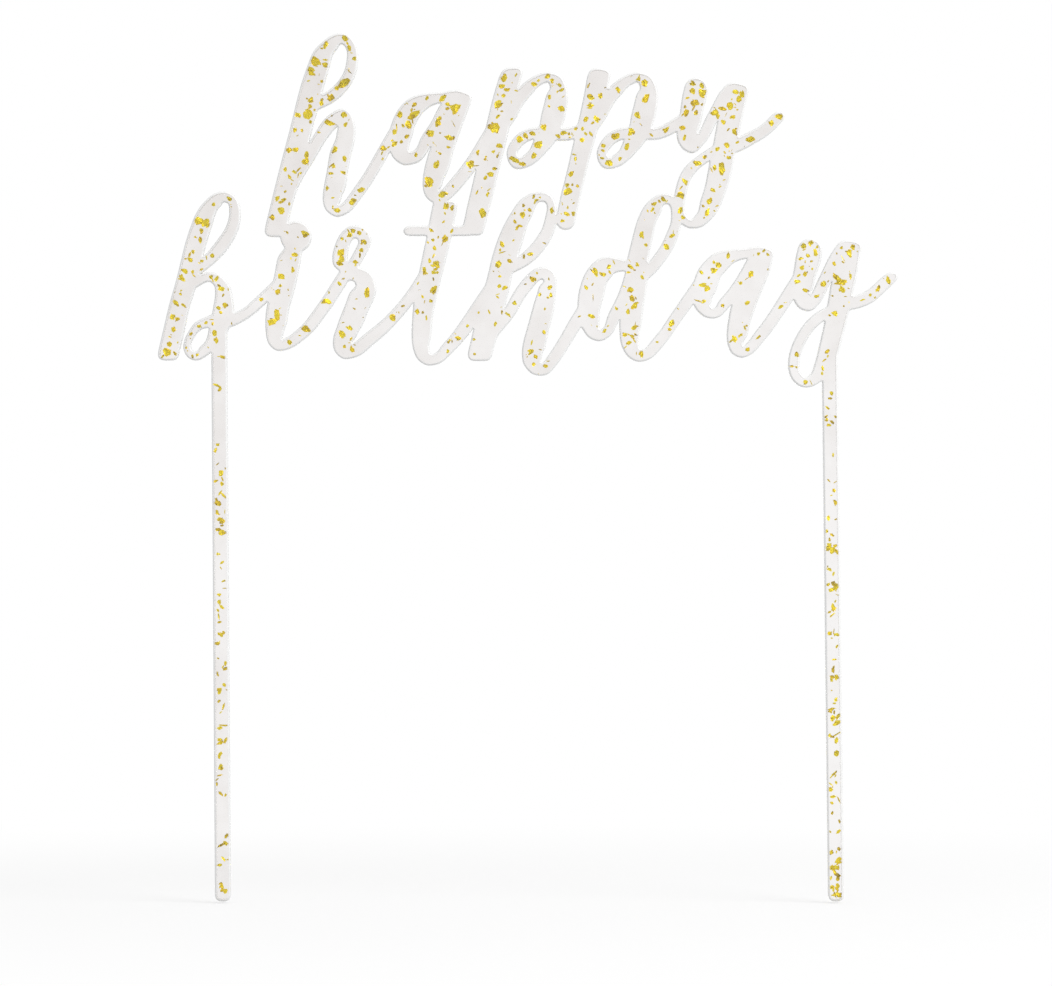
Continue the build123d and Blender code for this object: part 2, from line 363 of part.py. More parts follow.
# Flakes in the sticks: (distance to the right of the stick's line, part of the way up it, size across)
STICK_FLAKES = {
    "left_stick": [
        (0.1, 0.897, 1), (-0.5, 0.799, 0.9), (0.2, 0.75, 1.2), (0.4, 0.73, 1), (-0.3, 0.697, 1.4),
        (-0.6, 0.681, 0.9), (-0.1, 0.669, 1.1), (0.3, 0.646, 1.5), (-0.5, 0.608, 0.8), (0.5, 0.56, 0.7),
        (-0.3, 0.537, 0.9), (-0.3, 0.524, 1), (0.1, 0.465, 1), (-0.5, 0.468, 0.7), (0.6, 0.379, 0.9),
        (-0.3, 0.368, 1.2), (-0.6, 0.35, 0.8), (-0.4, 0.303, 1.1), (-0.3, 0.235, 1.3),
        (0.7, 0.186, 0.7), (0.6, 0.101, 1.2), (-0.6, 0.063, 1), (0.6, 0.017, 1),
    ],
    "right_stick": [
        (0.3, 0.923, 1), (-0.7, 0.875, 0.9), (-0.4, 0.865, 0.9), (0.8, 0.725, 1.1), (-0.7, 0.643, 1.5),
        (0, 0.637, 1.4), (0.8, 0.636, 1.1), (-0.5, 0.603, 1), (0.7, 0.571, 1.5), (-0.2, 0.566, 1.2),
        (0.1, 0.535, 1.6), (-0.7, 0.487, 1.1), (0.8, 0.463, 0.8), (-0.4, 0.402, 0.9), (0.5, 0.404, 0.7),
        (0.4, 0.367, 1), (-0.2, 0.333, 1.5), (0.8, 0.335, 1.3), (0.5, 0.324, 1.6), (0.5, 0.293, 1.2),
        (0.5, 0.268, 1.4), (0.3, 0.215, 0.8), (-0.4, 0.19, 1), (-0.6, 0.179, 0.8), (-0.8, 0.088, 1.1),
        (0.6, 0.075, 1.5), (-0.8, 0.062, 1.3), (0.1, 0.062, 1.3), (0.5, 0.041, 1.1), (-0.7, 0.025, 1.2),
        (0.4, 0.011, 1.3),
    ],
}

# The sheet's mid plane, with its origin on the baseline of the lower word
SHEET = Plane((0, 0, BASELINE_HEIGHT), x_dir=(1, 0, 0), z_dir=(0, -1, 0))


def in_pen_units(stroke):
    """The same stroke with its points and level cuts in millimetres."""
    cuts = [end if isinstance(end, str) else end * PEN_UNIT for end in (stroke.start, stroke.end)]
    points = [(x * PEN_UNIT, height * PEN_UNIT, width * PEN_UNIT) for x, height, width in stroke.points]
    return Stroke(*cuts, points)


def stick_line(root, lean):
    """The two ends of a stick's line, tip first, from the pen point that it hangs from."""
    top = Vector(root[0] * PEN_UNIT + STICK_SHIFT, root[1] * PEN_UNIT)
    drop = top.Y + BASELINE_HEIGHT
    return Vector(top.X + drop * math.tan(math.radians(lean)), -BASELINE_HEIGHT), top


def stick_stroke(line):
    """A stick as one straight stroke of the pen, cut off level at its tip."""
    tip, top = line
    last = tip + (top - tip).normalized() * (STICK_WIDTH + STEM_TIP)
    pen_width = STICK_WIDTH - LINE_GAIN
    return Stroke(HIDDEN, tip.Y, [(top.X, top.Y, pen_width), (last.X, last.Y, pen_width)])


def pen_directions(centres):
    """Unit directions of the pen at its points, the nearer neighbour counting for more."""
    chords = [after - before for before, after in zip(centres, centres[1:])]
    directions = [chords[0].normalized()]
    for before, after in zip(chords, chords[1:]):
        slope = before.normalized() * after.length + after.normalized() * before.length
        directions.append(slope.normalized())
    return directions + [chords[-1].normalized()]


def pen_runs(directions):
    """First and last point of each run of a stroke, broken before it has turned by RUN_TURN."""
    breaks = [0]
    turned = 0.0
    for point in range(1, len(directions)):
        turn = directions[point - 1].get_angle(directions[point])
        turned += turn
        if turned > RUN_TURN:
            breaks.append(point - 1)
            turned = turn
    breaks.append(len(directions) - 1)
    return list(zip(breaks, breaks[1:]))


def to_level(corner, direction, level):
    """The point where a line from a corner reaches a level."""
    return corner + direction * ((level - corner.Y) / direction.Y)


def end_points(kind, near, far, direction, inset):
    """Corners past a stroke's end, between its two edges' last points, where the end is cut off."""
    if kind == SQUARE:
        reach = direction * (STEM_TIP - inset)
        return [near + reach, far + reach]
    level = kind - math.copysign(inset, direction.Y)
    return [to_level(near, direction, level), to_level(far, direction, level)]


def flat_shape(strokes, inset=0.0, dots=()):
    """The flat shape that strokes and dots draw, with its edge moved inwards by inset."""
    runs = []
    with BuildSketch() as shape:
        for stroke in strokes:
            centres = [Vector(x, height) for x, height, _ in stroke.points]
            directions = pen_directions(centres)
            halves = [(width + LINE_GAIN) / 2 - inset for _, _, width in stroke.points]
            sides = [direction.rotate(Axis.Z, 90) for direction in directions]
            left = [c + s * h for c, s, h in zip(centres, sides, halves)]
            right = [c - s * h for c, s, h in zip(centres, sides, halves)]
            for first, last in pen_runs(directions):
                kinds = {
                    first: stroke.start if first == 0 else HIDDEN,
                    last: stroke.end if last == len(centres) - 1 else HIDDEN,
                }
                ahead = [directions[first], directions[last]]
                back = [-direction for direction in reversed(ahead)]
                with BuildLine() as outline:
                    Spline(left[first : last + 1], tangents=ahead)
                    Spline(right[first : last + 1][::-1], tangents=back)
                    for point, kind in kinds.items():
                        outward = directions[point] if point == last else -directions[point]
                        near, far = left[point], right[point]
                        if kind == HIDDEN:
                            Line(near, far)
                        elif kind == ROUND:
                            ThreePointArc(near, centres[point] + outward * halves[point], far)
                        else:
                            radius = min(CORNER_RADIUS, CORNER_SHARE * 2 * halves[point])
                            corners = end_points(kind, near, far, outward, inset)
                            FilletPolyline(near, *corners, far, radius=radius)
                runs.append(make_face(outline.edges(), mode=Mode.PRIVATE))
        add(runs)
        for x, height in dots:
            with Locations((x * PEN_UNIT, height * PEN_UNIT)):
                Circle(DOT_RADIUS - inset)
    return shape.sketch


def flake_corners(x, height, across, chance):
    """Corners of one ragged flake: uneven radii at uneven angles about its centre."""
    step = 360 / FLAKE_SIDES
    start = chance.uniform(0, step)
    corners = []
    for side in range(FLAKE_SIDES):
        radius = across / 2 * chance.uniform(FLAKE_RAGGED, 1)
        angle = math.radians(start + step * (side + chance.uniform(0, FLAKE_RAGGED)))
        corners.append((x + radius * math.cos(angle), height + radius * math.sin(angle)))
    return corners


def flake_layer(flakes, core):
    """The flat shape of one level of flakes, kept inside the core of their piece."""
    with BuildSketch() as layer:
        for corners in flakes:
            Polygon(*corners, align=None)
        add(core, mode=Mode.INTERSECT)
    return [face for face in layer.sketch.faces() if face.area > FLAKE_LEAST_AREA]


# Strokes of every piece, and the dots that go with them
STICK_LINES = {
    "left_stick": stick_line(LEFT_STICK_ROOT, LEFT_STICK_LEAN),
    "right_stick": stick_line(RIGHT_STICK_ROOT, RIGHT_STICK_LEAN),
}
strokes = {name: [in_pen_units(stroke) for stroke in drawn] for name, drawn in PEN_STROKES.items()}
strokes |= {name: [stick_stroke(line)] for name, line in STICK_LINES.items()}
dots = {"lower_i": [I_DOT]}

# Flakes of every piece, in millimetres
flakes = {
    name: [(x * PEN_UNIT, height * PEN_UNIT, across) for x, height, across in scattered]
    for name, scattered in LETTER_FLAKES.items()
}
for name, scattered in STICK_FLAKES.items():
    tip, top = STICK_LINES[name]
    centres = [tip + (top - tip) * part + Vector(right, 0) for right, part, _ in scattered]
    flakes[name] = [(centre.X, centre.Y, flake[2]) for centre, flake in zip(centres, scattered)]

# Flat shapes of every piece: as cut, and moved outwards to keep a neighbour's flakes clear of the seam
outlines = {name: flat_shape(drawn, dots=dots.get(name, ())) for name, drawn in strokes.items()}
wide_outlines = {
    name: flat_shape(drawn, -FLAKE_COVER, dots.get(name, ()))
    for name, drawn in strokes.items()
    if any(name in neighbours for neighbours in CUT_BY.values())
}

os.makedirs("parts", exist_ok=True)
chance = random.Random(FLAKE_SEED)
for name, neighbours in CUT_BY.items():
    with BuildSketch() as core:
        add(flat_shape(strokes[name], FLAKE_COVER, dots.get(name, ())))
        for neighbour in neighbours:
            add(wide_outlines[neighbour], mode=Mode.SUBTRACT)

    outlines_of_flakes = [flake_corners(*flake, chance) for flake in flakes[name]]
    with BuildPart() as foil:
        for level in range(FLAKE_LAYERS):
            depth = SHEET_THICKNESS * ((level + 1) / (FLAKE_LAYERS + 1) - 0.5)
            with BuildSketch(SHEET.offset(depth)):
                add(flake_layer(outlines_of_flakes[level::FLAKE_LAYERS], core.sketch))
            extrude(amount=FLAKE_THICKNESS / 2, both=True)
    foil.part.label = f"{name}_flakes"
    export_step(foil.part, f"parts/{name}_flakes.step")

    with BuildPart() as piece:
        with BuildSketch(SHEET):
            add(outlines[name])
            for neighbour in neighbours:
                add(outlines[neighbour], mode=Mode.SUBTRACT)
        extrude(amount=SHEET_THICKNESS / 2, both=True)
        add(foil.part, mode=Mode.SUBTRACT)
    piece.part.label = name
    export_step(piece.part, f"parts/{name}.step")
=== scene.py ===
# %% [markdown]
# # A clear cake topper with gold foil in it
#
# The real topper is one sheet of clear cast acrylic, 3 mm thick. Scraps of gold-coloured foil were
# stirred into it before it set, and a laser then cut two joined words and two sticks out of it. The
# packed parts hold the letters, the sticks and the flakes as separate solids, each at its real place.
# This lesson turns them into what the eye sees: one seamless sheet with softly rounded edges, and
# crumpled foil inside it. Shapes are worked out in millimetres, and finishes, lights and the camera in
# metres.

# %% Load the packed parts
import math
from collections import namedtuple

import bpy
import numpy as np
from mathutils.geometry import delaunay_2d_cdt
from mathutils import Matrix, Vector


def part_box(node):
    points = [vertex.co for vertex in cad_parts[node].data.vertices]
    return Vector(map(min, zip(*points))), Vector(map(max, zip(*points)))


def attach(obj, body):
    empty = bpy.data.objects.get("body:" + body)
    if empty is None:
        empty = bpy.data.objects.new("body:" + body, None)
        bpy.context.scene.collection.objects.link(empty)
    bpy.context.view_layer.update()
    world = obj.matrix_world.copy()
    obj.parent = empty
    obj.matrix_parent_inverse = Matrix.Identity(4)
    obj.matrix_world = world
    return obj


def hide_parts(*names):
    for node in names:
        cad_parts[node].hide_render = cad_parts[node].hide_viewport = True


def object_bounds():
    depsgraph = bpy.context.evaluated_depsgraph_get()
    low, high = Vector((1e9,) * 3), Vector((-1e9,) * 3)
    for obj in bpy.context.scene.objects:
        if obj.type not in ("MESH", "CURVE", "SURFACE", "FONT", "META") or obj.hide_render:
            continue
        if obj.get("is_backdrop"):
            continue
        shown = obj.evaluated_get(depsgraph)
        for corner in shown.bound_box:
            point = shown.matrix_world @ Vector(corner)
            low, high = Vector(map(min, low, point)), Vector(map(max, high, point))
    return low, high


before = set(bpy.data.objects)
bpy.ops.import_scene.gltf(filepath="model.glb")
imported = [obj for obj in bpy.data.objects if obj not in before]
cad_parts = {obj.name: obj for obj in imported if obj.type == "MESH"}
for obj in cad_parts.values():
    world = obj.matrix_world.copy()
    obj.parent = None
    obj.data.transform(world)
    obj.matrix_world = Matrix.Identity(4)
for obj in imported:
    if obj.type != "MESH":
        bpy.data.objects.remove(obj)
cad_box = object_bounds()
MM = 0.001

clear_nodes = sorted(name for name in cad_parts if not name.endswith("_flakes"))
flake_nodes = [f"{name}_flakes" for name in clear_nodes]
half_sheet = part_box(clear_nodes[0])[1].y / MM
print(f"{len(clear_nodes)} clear pieces and {len(flake_nodes)} groups of flakes")
print(f"the sheet is {2 * half_sheet:.2f} mm thick")

# %% [markdown]
# ## The outline, from the letters
#
# Each packed letter ends where it runs into the next, and a clear sheet would show those seams as lines.
# So the front faces of all the letters and sticks are laid into one drawing. Every letter is first grown
# by a hair, so that neighbours lap over each other, and a constrained triangulation then says which
# ground is covered at all. The border of that ground is the outline of the real sheet. A Boolean modifier
# could join the solids too, but faces that lie exactly on each other are what it does worst.

# %% Arrays out of the packed meshes
MERGE_STEP = 0.0005  # points nearer than this are one point


def node_triangles(node):
    """A node's triangles in millimetres, as an array of (triangle, corner, axis)."""
    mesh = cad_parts[node].data
    mesh.calc_loop_triangles()
    points = np.empty(len(mesh.vertices) * 3, np.float32)
    mesh.vertices.foreach_get("co", points)
    corners = np.empty(len(mesh.loop_triangles) * 3, np.int32)
    mesh.loop_triangles.foreach_get("vertices", corners)
    return points.reshape(-1, 3)[corners].reshape(-1, 3, 3).astype(float) / MM


def merged(points):
    """Points that share a place, counted once: the distinct points, and which one each given point is."""
    keys = np.round(points / MERGE_STEP).astype(np.int64)
    _, first, which = np.unique(keys, axis=0, return_index=True, return_inverse=True)
    return points[first], which.reshape(-1)


def border_edges(triangles):
    """Edges that only one triangle uses, directed so that the surface lies on their left."""
    edges = np.concatenate([triangles[:, [0, 1]], triangles[:, [1, 2]], triangles[:, [2, 0]]])
    base = triangles.max() + 1
    forward = edges[:, 0] * base + edges[:, 1]
    backward = edges[:, 1] * base + edges[:, 0]
    return edges[~np.isin(forward, backward)]


print(f"{clear_nodes[0]} has {len(node_triangles(clear_nodes[0]))} triangles")

# %% The front face of one piece
SEAM_LAP = 0.012  # how far each piece grows over its neighbours
FRONT_TOLERANCE = 0.001  # points this near to the front face belong to it
LEAST_PUSH = 1e-9  # keeps a point whose two normals cancel out where it is


def grown(points, border, by):
    """Border points moved outwards: each goes by a set distance along the mean normal of its two edges."""
    along = points[border[:, 1]] - points[border[:, 0]]
    normals = -1j * along / np.abs(along)
    push = np.zeros_like(points)
    np.add.at(push, border[:, 0], normals)
    np.add.at(push, border[:, 1], normals)
    return points + by * push / np.maximum(np.abs(push), LEAST_PUSH)


def front_outline(node):
    """The border of a node's front face, as complex points x + iz and directed edges between them."""
    corners = node_triangles(node)
    is_front = (corners[:, :, 1] < -half_sheet + FRONT_TOLERANCE).all(axis=1)
    flat, which = merged(corners[is_front][:, :, [0, 2]].reshape(-1, 2))
    border = border_edges(which.reshape(-1, 3))
    used, renumbered = np.unique(border, return_inverse=True)
    border = renumbered.reshape(-1, 2)
    return grown(flat[used] @ np.array([1, 1j]), border, SEAM_LAP), border


print(f"{len(front_outline(clear_nodes[0])[0])} points round its front face")

# %% One drawing of all the pieces
WHOLE_HULL = 0  # the triangulation keeps all of its triangles
SAME_PLACE = 1e-6  # and takes points nearer than this as one


def is_inside(places, starts, ends):
    """True where a level ray from a place crosses the directed edges an odd number of times."""
    height = places.imag[:, None]
    crosses = (starts.imag <= height) != (ends.imag <= height)
    rise = np.where(ends.imag == starts.imag, 1, ends.imag - starts.imag)
    meets = starts.real + (height - starts.imag) / rise * (ends.real - starts.real)
    return (crosses & (meets > places.real[:, None])).sum(axis=1) % 2 == 1


def triangulated(plane, edges):
    """All triangles among complex points that keep to the given edges: points, corners and sources."""
    flat = np.stack([plane.real, plane.imag], axis=1)
    made = delaunay_2d_cdt(flat.tolist(), edges.tolist(), [], WHOLE_HULL, SAME_PLACE)
    points, _, triangles, sources, _, _ = made
    return np.array(points) @ np.array([1, 1j]), np.array(triangles), sources


def covered_ground(nodes):
    """The points and triangles of the ground that the front faces of these nodes cover together."""
    fronts = [front_outline(node) for node in nodes]
    starts = np.cumsum([0] + [len(points) for points, _ in fronts])
    edges = np.concatenate([border + start for (_, border), start in zip(fronts, starts)])
    points, triangles, _ = triangulated(np.concatenate([points for points, _ in fronts]), edges)
    middles = points[triangles].mean(axis=1)
    covered = [is_inside(middles, *front[border.T]) for front, border in fronts]
    return points, triangles[np.any(covered, axis=0)]


ground_points, ground_triangles = covered_ground(clear_nodes)
print(f"the covered ground has {len(ground_triangles)} triangles")

# %% The border of the drawing


def rings_of(border):
    """Border edges put end to end: where the path comes back to one of its points, a ring drops off."""
    after = {}
    for start, end in border.tolist():
        after.setdefault(start, []).append(end)
    rings = []
    while after:
        path = [next(iter(after))]
        while path[-1] in after:
            here = path[-1]
            following = after[here].pop()
            if not after[here]:
                del after[here]
            if following in path:
                rings.append(path[path.index(following):])
                del path[path.index(following) + 1:]
            else:
                path.append(following)
    return rings


ground_rings = rings_of(border_edges(ground_triangles))
print(f"its border has {len(ground_rings)} rings")

# %% [markdown]
# ## A smooth outline
#
# The packed outline is made of short straight pieces. A closed outline is a periodic signal, so it can be
# smoothed as one: each point becomes the complex number x + iz, and a Fourier transform makes a Gaussian
# blur along its length a plain product. A light blur eases the sharp inner corners, as the width of a
# laser beam does. The outer corners of the letters are rounder than that, the upper left shoulders most
# of all, so where the line turns sharply outwards, a wider blur of the same line takes over. Subdividing
# the outline would round it too, but every corner alike.

# %% Blur and bend of a closed line
TEST_RADIUS = 2.0
TEST_POINTS = 100


def blurred(signal, waves, by):
    """A periodic signal under a Gaussian blur: each of its waves is damped by exp(-2 (pi f s) squared)."""
    return np.fft.ifft(np.fft.fft(signal) * np.exp(-2 * (np.pi * waves * by) ** 2))


def bend(line):
    """How sharply a closed line turns at each point, per length, and positive where it turns outwards."""
    ahead = np.roll(line, -1) - line
    return np.angle(ahead / np.roll(ahead, 1)) / np.abs(ahead)


circle = TEST_RADIUS * np.exp(2j * np.pi * np.arange(TEST_POINTS) / TEST_POINTS)
print(f"a circle of radius {TEST_RADIUS:.0f} bends by {bend(circle).mean():.3f} per millimetre")

# %% Smooth the rings
FINE_STEP = 0.05  # spacing of the points that are blurred
OUTLINE_BLUR = 0.2  # standard deviation of the blur along the outline
SHOULDER_BLUR = 1.15  # the same at the upper left shoulders of the letters
CORNER_BLUR = 0.5  # and at their other outer corners
CORNER_BEND = 0.75  # an outer bend of more than this, in radians per millimetre, is a corner
END_BEND = 0.62  # unless it goes on, as round the end of a thin stroke,
END_REACH = 1.2  # when it is blurred by this much
CORNER_GAIN = 6.0  # how firmly the wider blur takes over at a corner
OUTLINE_STEP = 0.38  # spacing of the finished outline's points
LEAST_RING = 2.0  # shorter rings are pin holes in a seam


def smooth_ring(ring):
    """A ring as complex points: spread evenly by arc length, blurred, more so at corners, and thinned."""
    signal = ground_points[ring]
    closed = np.append(signal, signal[0])
    travelled = np.append(0, np.cumsum(np.abs(np.diff(closed))))
    fine = int(travelled[-1] / FINE_STEP)
    even = np.interp(np.arange(fine) / fine * travelled[-1], travelled, closed)
    waves = np.fft.fftfreq(fine, travelled[-1] / fine)
    line = crisp = blurred(even, waves, OUTLINE_BLUR)
    step = np.roll(crisp, -1) - np.roll(crisp, 1)
    is_shoulder = (step.real < 0) & (step.imag < 0)
    is_corner = (bend(crisp) > CORNER_BEND) & (blurred(bend(crisp), waves, END_REACH).real < END_BEND)
    for is_here, blur in ((is_shoulder, SHOULDER_BLUR), (~is_shoulder, CORNER_BLUR)):
        share = np.clip(CORNER_GAIN * blurred(is_corner & is_here, waves, blur).real, 0, 1)
        line = line + share * (blurred(even, waves, blur) - crisp)
    count = int(travelled[-1] / OUTLINE_STEP)
    return np.interp(np.arange(count) / count * fine, np.arange(fine + 1), np.append(line, line[0]))


def ring_length(ring):
    """Length of the straight pieces of a ring."""
    return np.abs(np.roll(ground_points[ring], -1) - ground_points[ring]).sum()


outlines = [smooth_ring(ring) for ring in ground_rings if ring_length(ring) > LEAST_RING]
outline_points = np.concatenate(outlines)
outline_steps = np.concatenate([np.roll(ring, -1) - np.roll(ring, 1) for ring in outlines])
outline_normals = -1j * outline_steps / np.abs(outline_steps)
print(f"{len(outlines)} outlines with {len(outline_points)} points")

# %% [markdown]
# ## The sheet
#
# A laser leaves the walls of the cut straight, and its heat melts a small round along both edges. That is
# a profile carried along a path: the wall with a quarter circle at each end, carried round every outline.
# The two flat faces close it. A Bevel modifier could make the round too, but the round is what catches
# the light, so its rows and their normals are worked out exactly.

# %% The profile of the edge
EDGE_RADIUS = 0.45
EDGE_STEPS = 5  # rows of faces across each round


def edge_profile():
    """Inset, depth and normal angle of each row, back to front: r(1 - cos a), h - r + r sin a and a."""
    angles = np.linspace(0, np.pi / 2, EDGE_STEPS + 1)
    inset = EDGE_RADIUS * (1 - np.cos(angles))
    depth = half_sheet - EDGE_RADIUS * (1 - np.sin(angles))
    return (
        np.append(inset[::-1], inset),
        np.append(depth[::-1], -depth),
        np.append(angles[::-1], -angles),
    )


print(f"the edge has {len(edge_profile()[0])} rows of points")

# %% Faces between the rows and across the sheet


def ring_neighbours():
    """The number of each outline point, and that of the next one round its ring."""
    here = np.arange(len(outline_points))
    starts = np.cumsum([0] + [len(ring) for ring in outlines])
    return here, np.concatenate([np.roll(here[a:b], -1) for a, b in zip(starts, starts[1:])])


def wall_faces(here, after, rows):
    """Four-sided faces between each row of points and the next row."""
    starts = len(here) * np.arange(rows - 1)[:, None]
    corners = [here + starts, after + starts, after + starts + len(here), here + starts + len(here)]
    return np.stack(corners, axis=-1).reshape(-1, 4)


def cap_faces(plane, here, after):
    """Triangles of the ground inside the rings of a row, as numbers of that row's points."""
    points, triangles, sources = triangulated(plane, np.stack([here, after], axis=1))
    covered = triangles[is_inside(points[triangles].mean(axis=1), plane, plane[after])]
    return np.array([source[0] for source in sources])[covered]


outline_here, outline_after = ring_neighbours()
print(f"{len(wall_faces(outline_here, outline_after, 2))} faces lie between two rows")

# %% Carry the edge profile round the outlines
FROST_LIMIT = math.radians(60)  # the round is fully frosted up to this slope, then clears
WALL_FROST = 0.3  # the straight wall between the rounds stays glassy


def new_piece(name, points, faces):
    """A mesh object from arrays in millimetres, riding on the topper's one body."""
    mesh = bpy.data.meshes.new(name)
    mesh.from_pydata((points * MM).tolist(), [], faces)
    piece = bpy.data.objects.new(name, mesh)
    bpy.context.scene.collection.objects.link(piece)
    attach(piece, "root")
    return piece


def flat_points(plane, depth):
    """Points (x, depth, z) from complex points x + iz."""
    return np.stack([plane.real, np.broadcast_to(depth, plane.shape), plane.imag], axis=-1)


def make_sheet():
    """The sheet: rows of edge points joined by four-sided faces, with triangles across front and back."""
    inset, depth, angle = edge_profile()
    rows = outline_points - outline_normals * inset[:, None]
    points = flat_points(rows, depth[:, None])
    normals = flat_points(outline_normals * np.cos(angle)[:, None], np.sin(angle)[:, None])
    walls = wall_faces(outline_here, outline_after, len(rows))
    back = cap_faces(rows[-1], outline_here, outline_after)
    front = back + len(outline_points) * (len(rows) - 1)
    faces = walls.tolist() + front.tolist() + back[:, ::-1].tolist()
    sheet = new_piece("clear_sheet", points.reshape(-1, 3), faces)
    mesh = sheet.data
    frost = mesh.attributes.new("frost", "FLOAT", "POINT")
    frosted = np.where(angle == 0, WALL_FROST, np.clip(np.cos(angle) / math.cos(FROST_LIMIT), 0, 1))
    frost.data.foreach_set("value", np.repeat(frosted, len(outline_points)).astype(np.float32))
    mesh.polygons.foreach_set("use_smooth", np.ones(len(faces), bool))
    mesh.normals_split_custom_set_from_vertices(normals.reshape(-1, 3).tolist())
    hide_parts(*clear_nodes)
    return sheet


sheet = make_sheet()
print(f"the sheet has {len(sheet.data.polygons)} faces")

# %% [markdown]
# ## The foil flakes
#
# Leaf foil tears into angular scraps and crumples as the liquid acrylic moves it, and crumbs come off it.
# Each packed flake gives its place, its depth and its corners. A scrap here is a small polar grid over
# that shape: straight torn edges between the corners, a ragged rim, and a tilt and a few creases for its
# depth. A front and a back skin, a hair apart, make it closed. A cloth simulation would crumple foil too,
# but not hundreds of pieces in a second.

# %% Read the packed flakes


def islands(triangles):
    """Which connected group each triangle is in: the least point number, passed on until it settles."""
    label = np.arange(triangles.max() + 1)
    while True:
        new = label.copy()
        np.minimum.at(new, triangles, label[triangles].min(axis=1)[:, None])
        if (new == label).all():
            return label[triangles[:, 0]]
        label = new


def packed_flakes(node):
    """The corners of each flake's front face as complex points x + iz, and the flake's depth."""
    points, which = merged(node_triangles(node).reshape(-1, 3))
    triangles = which.reshape(-1, 3)
    group = islands(triangles)
    for label in np.unique(group):
        own = points[np.unique(triangles[group == label])]
        front = own[own[:, 1] < own[:, 1].min() + FRONT_TOLERANCE]
        yield front[:, 0] + 1j * front[:, 2], front[0, 1]


print(f"{flake_nodes[0]} holds {len(list(packed_flakes(flake_nodes[0])))} flakes")

# %% Tear the edges
STRETCH = (1.0, 1.45)  # a scrap is drawn out this much one way, and narrowed as much across it
EDGE_JITTER = (0.88, 1.1)  # the middle of a torn edge, in parts of its place on a straight edge
OUTLINE_REACH = 12.0  # how far around a scrap the outline is looked at
CLEAR_ROOM = 0.12  # acrylic left between a scrap and the outline
SHORTEN_ROUNDS = 12
SHORTENED = 0.85  # what a round leaves of an arm that reaches too far


def drawn_out(arms, limits, chance):
    """Complex arms stretched along a random direction and narrowed across it by the same factor."""
    heading = np.exp(1j * np.pi * chance.random())
    stretch = chance.uniform(*limits)
    turned = arms * heading.conjugate()
    return (turned.real * stretch + 1j * turned.imag / stretch) * heading


def torn_edge(arms, chance):
    """The corners of a scrap with one more point in each edge, pulled in or out by a random part."""
    middles = (arms + np.roll(arms, -1)) / 2 * chance.uniform(*EDGE_JITTER, len(arms))
    return np.stack([arms, middles], axis=1).ravel()


def depth_inside(places):
    """How far inside the outline each complex point lies, along the normal of the nearest outline point."""
    near = np.abs(outline_points - places.mean()) < OUTLINE_REACH
    gaps = places[:, None] - outline_points[near]
    closest = np.abs(gaps).argmin(axis=1)
    return -(gaps[np.arange(len(places)), closest] * outline_normals[near][closest].conjugate()).real


def kept_inside(centre, arms):
    """Arms shortened step by step until every tip lies inside the sheet with room to spare."""
    for _ in range(SHORTEN_ROUNDS):
        short = depth_inside(centre + arms) < CLEAR_ROOM
        arms = np.where(short, SHORTENED * arms, arms)
    return arms


deepest = max(depth_inside(corners).max() for corners, _ in packed_flakes(flake_nodes[0]))
print(f"its flakes reach {deepest:.2f} mm in from the outline")

# %% Crumple the scraps
CREASES = 2
CREASE_HEIGHT = 0.26  # in parts of the scrap's mean radius
CREASE_WAVES = (1.0, 2.4)  # radians of a crease's wave over that radius
CREASE_MEAN = 0.6  # near the mean of |sin|, so that creases rise and fall
CREASE_PAINTED_SHADE = 0.54  # painted shade and highlight: how much a crease lowers or raises the tone
TILT = 0.2  # steepest slope of a tilted scrap
PAINTED_SIDE_SHADE = 0.4  # painted shade: how much darker one side of a scrap is made
FOIL_SKIN = 0.012  # between a scrap's front and back skin
FOIL_COVER = 0.2  # least acrylic between a scrap's front skin and the sheet's faces
DEEPEST_FOIL = half_sheet - FOIL_COVER


def scrap_faces(spokes, rings):
    """Corner numbers of a closed scrap: a fan and rings of quads, the same behind, and a rim between."""
    ring = 1 + np.arange(rings * spokes).reshape(rings, spokes)
    turned = np.roll(ring, -1, axis=1)
    fan = np.stack([np.zeros(spokes, int), ring[0], turned[0]], axis=-1)
    bands = np.stack([ring[:-1], ring[1:], turned[1:], turned[:-1]], axis=-1).reshape(-1, 4)
    skin = 1 + rings * spokes
    rim = np.stack([ring[-1], ring[-1] + skin, turned[-1] + skin, turned[-1]], axis=-1)
    return [fan, bands, fan[:, ::-1] + skin, bands[:, ::-1] + skin, rim]


def random_headings(count, chance):
    """Random directions as unit complex numbers."""
    return np.exp(2j * np.pi * chance.random(count))


def crease_lift(plane, chance):
    """Lift over flat points, for a scrap of size 1: a tilt, and the mean of a few creases |sin|."""
    across = (plane[:, None] * random_headings(CREASES + 1, chance).conjugate()).real
    waves = across[:, 1:] * chance.uniform(*CREASE_WAVES, CREASES) + chance.uniform(0, np.pi, CREASES)
    creases = np.abs(np.sin(waves)).mean(axis=1) - CREASE_MEAN
    return TILT * chance.uniform(-1, 1) * across[:, 0] + CREASE_HEIGHT * creases, creases


